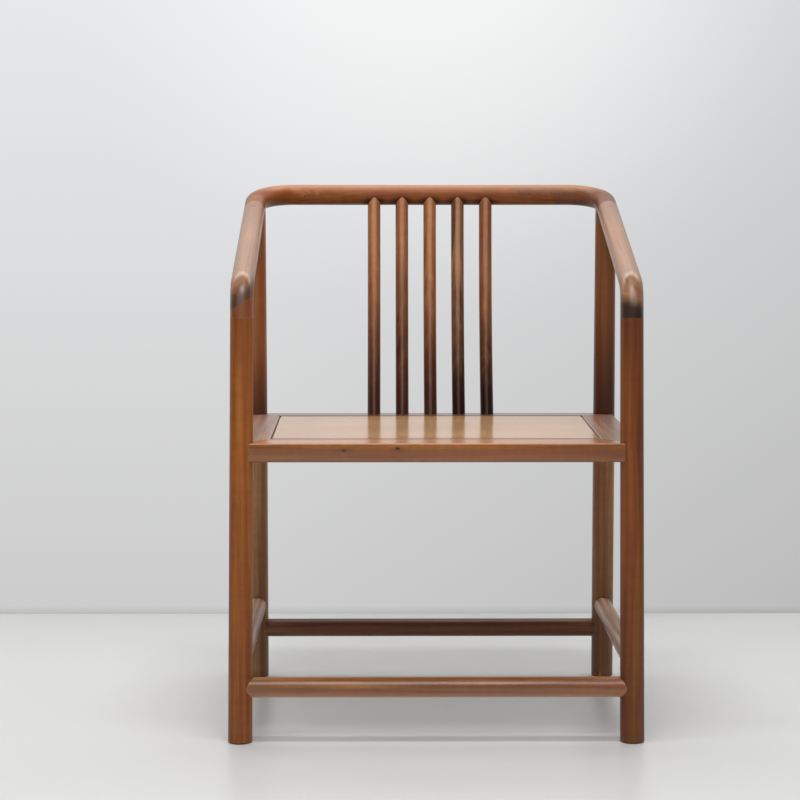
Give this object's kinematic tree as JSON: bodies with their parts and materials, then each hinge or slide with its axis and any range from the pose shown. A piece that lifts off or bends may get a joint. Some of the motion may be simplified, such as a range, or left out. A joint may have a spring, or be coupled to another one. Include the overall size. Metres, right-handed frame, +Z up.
{
  "type": "horseshoe back armchair",
  "caption": "Timber armchair with a continuous round ring rail as crest and arms, bowed back spindles, a framed plank seat and round stretchers between round legs.",
  "frame": {"origin": "on the floor under the middle of the chair's outline, where its four feet stand", "axes": "+Z up, the chair faces -Y with the sitter's back towards +Y, +X to the right of a viewer in front"},
  "size_m": [0.602, 0.5692, 0.806],
  "materials": {
    "leg_timber_red": "satin oiled hardwood",
    "leg_timber_brown": "satin oiled hardwood",
    "rear_leg_timber": "satin oiled hardwood",
    "crest_timber": "satin oiled hardwood",
    "ring_timber": "satin oiled hardwood",
    "pin_timber": "satin oiled hardwood",
    "cross_rail_timber": "satin oiled hardwood",
    "side_rail_timber": "satin oiled hardwood",
    "panel_timber": "satin oiled hardwood",
    "batten_timber": "satin oiled hardwood",
    "cross_stretcher_timber": "satin oiled hardwood",
    "side_stretcher_timber": "satin oiled hardwood",
    "spindle_timber": "satin oiled hardwood"
  },
  "bodies": {
    "root": {"front_leg_left": "leg_timber_red", "front_leg_right": "leg_timber_brown", "rear_leg_left": "rear_leg_timber", "rear_leg_right": "rear_leg_timber", "crest_rail": "crest_timber", "ring_corner_left": "ring_timber", "ring_corner_right": "ring_timber", "arm_left": "ring_timber", "arm_right": "ring_timber", "ring_wedge_pins": "pin_timber", "seat_rail_front": "cross_rail_timber", "seat_rail_rear": "cross_rail_timber", "seat_rail_left": "side_rail_timber", "seat_rail_right": "side_rail_timber", "seat_board_front": "panel_timber", "seat_board_rear": "panel_timber", "seat_batten_left": "batten_timber", "seat_batten_right": "batten_timber", "stretcher_front": "cross_stretcher_timber", "stretcher_rear": "cross_stretcher_timber", "stretcher_left": "side_stretcher_timber", "stretcher_right": "side_stretcher_timber", "spindle_1": "spindle_timber", "spindle_2": "spindle_timber", "spindle_3": "spindle_timber", "spindle_4": "spindle_timber", "spindle_5": "spindle_timber"}
  },
  "joints": []
}
